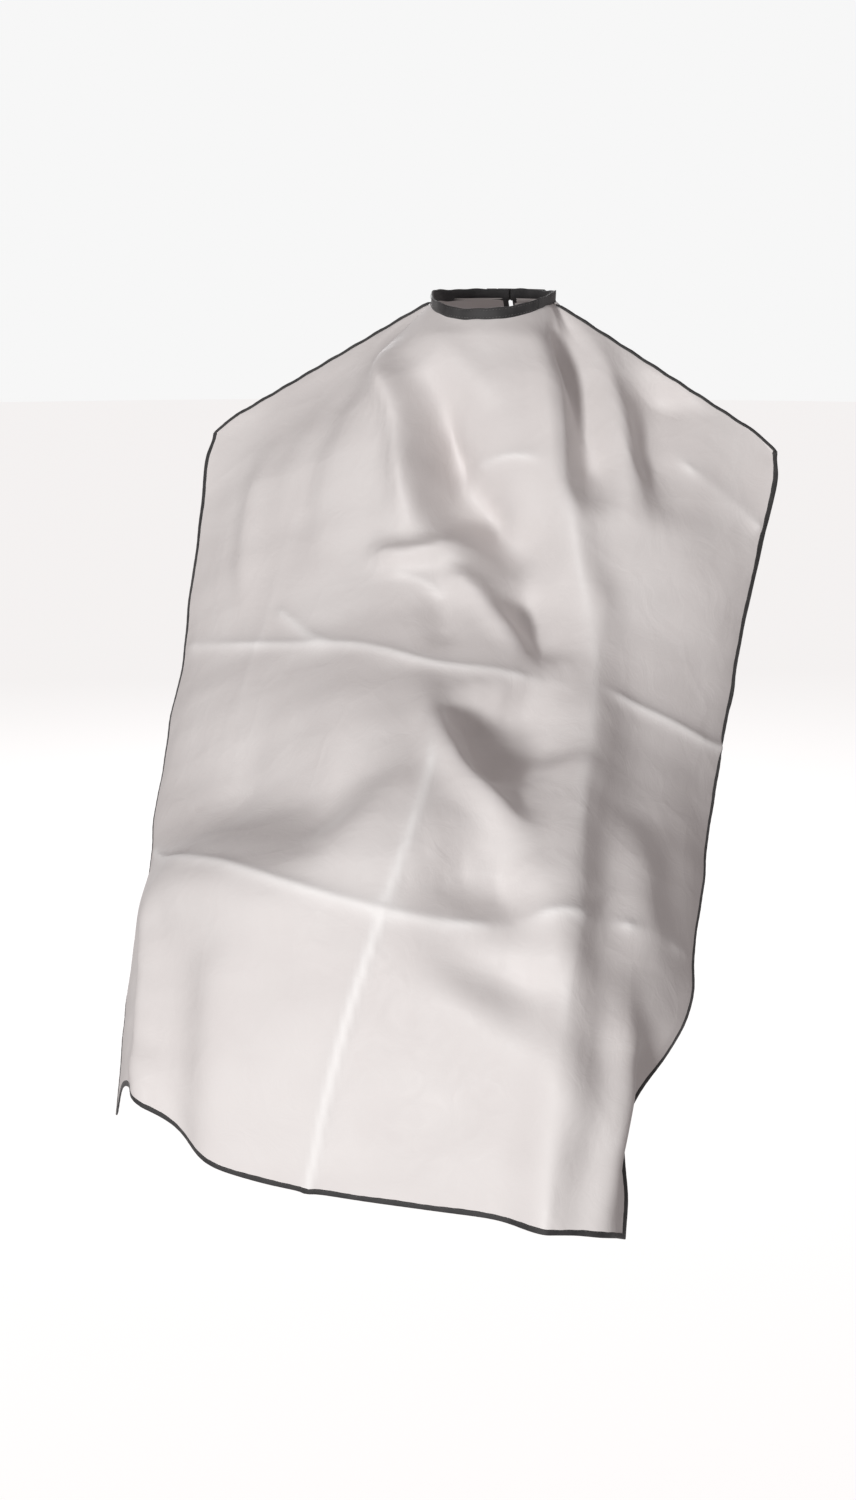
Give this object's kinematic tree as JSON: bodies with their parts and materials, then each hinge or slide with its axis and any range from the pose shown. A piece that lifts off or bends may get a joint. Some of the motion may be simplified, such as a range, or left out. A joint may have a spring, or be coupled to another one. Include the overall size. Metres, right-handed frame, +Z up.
{
  "type": "barber cape",
  "caption": "Barber cape in its worn drape: pale polyester front and split back panels, black bound edges and shoulder seams, and a narrow black neckband that opens at the back.",
  "frame": {"origin": "centre of the neckband, on its axis and at half its height", "axes": "+Z up along the wearer's neck, the wearer faces -Y, the wearer's left side is +X"},
  "size_m": [0.6406, 0.6504, 0.8267],
  "materials": {
    "cape_cloth": "smooth coated polyester, faint sheen, pressed fold lines",
    "binding_tape": "black bias tape, stitched",
    "band_cloth": "black woven polyester",
    "band_lining": "black brushed knit",
    "interlining": "non-woven stiffener",
    "loop_tape": "black loop pile",
    "hook_tape": "black moulded hooks",
    "label_satin": "blank white satin"
  },
  "bodies": {
    "root": {"front_panel": "cape_cloth", "back_panel_left": "cape_cloth", "back_panel_right": "cape_cloth", "front_hem_binding": "binding_tape", "front_side_binding_left": "binding_tape", "front_side_binding_right": "binding_tape", "back_hem_binding_left": "binding_tape", "back_hem_binding_right": "binding_tape", "back_side_binding_left": "binding_tape", "back_side_binding_right": "binding_tape", "opening_binding_left": "binding_tape", "opening_binding_right": "binding_tape", "shoulder_piping_left": "binding_tape", "shoulder_piping_right": "binding_tape", "neckband_front_outer": "band_cloth", "neckband_front_lining": "band_lining", "neckband_front_interlining": "interlining", "care_label": "label_satin"},
    "left_arm": {"neckband_left_outer": "band_cloth", "neckband_left_lining": "band_lining", "neckband_left_interlining": "interlining", "loop_strip": "loop_tape"},
    "right_arm": {"neckband_right_outer": "band_cloth", "neckband_right_lining": "band_lining", "neckband_right_interlining": "interlining", "tab_anchor": "band_cloth"},
    "tab": {"closure_tab": "band_cloth", "hook_pad": "hook_tape"}
  },
  "joints": [
    {"name": "left_arm_swing", "type": "hinge", "parent": "root", "child": "left_arm", "pos_m": [0.06244, 0.01101, 0], "axis": [0, 0, 1], "range_deg": [-50, 0]},
    {"name": "right_arm_swing", "type": "hinge", "parent": "root", "child": "right_arm", "pos_m": [-0.06244, 0.01101, 0], "axis": [0, 0, 1], "range_deg": [0, 50]},
    {"name": "tab_peel", "type": "hinge", "parent": "right_arm", "child": "tab", "pos_m": [-0.01397, 0.06573, 0], "axis": [0, 0, 1], "range_deg": [0, 110]}
  ],
  "couplings": [
    {"joint": "right_arm_swing", "follows": "left_arm_swing", "ratio": -1}
  ]
}
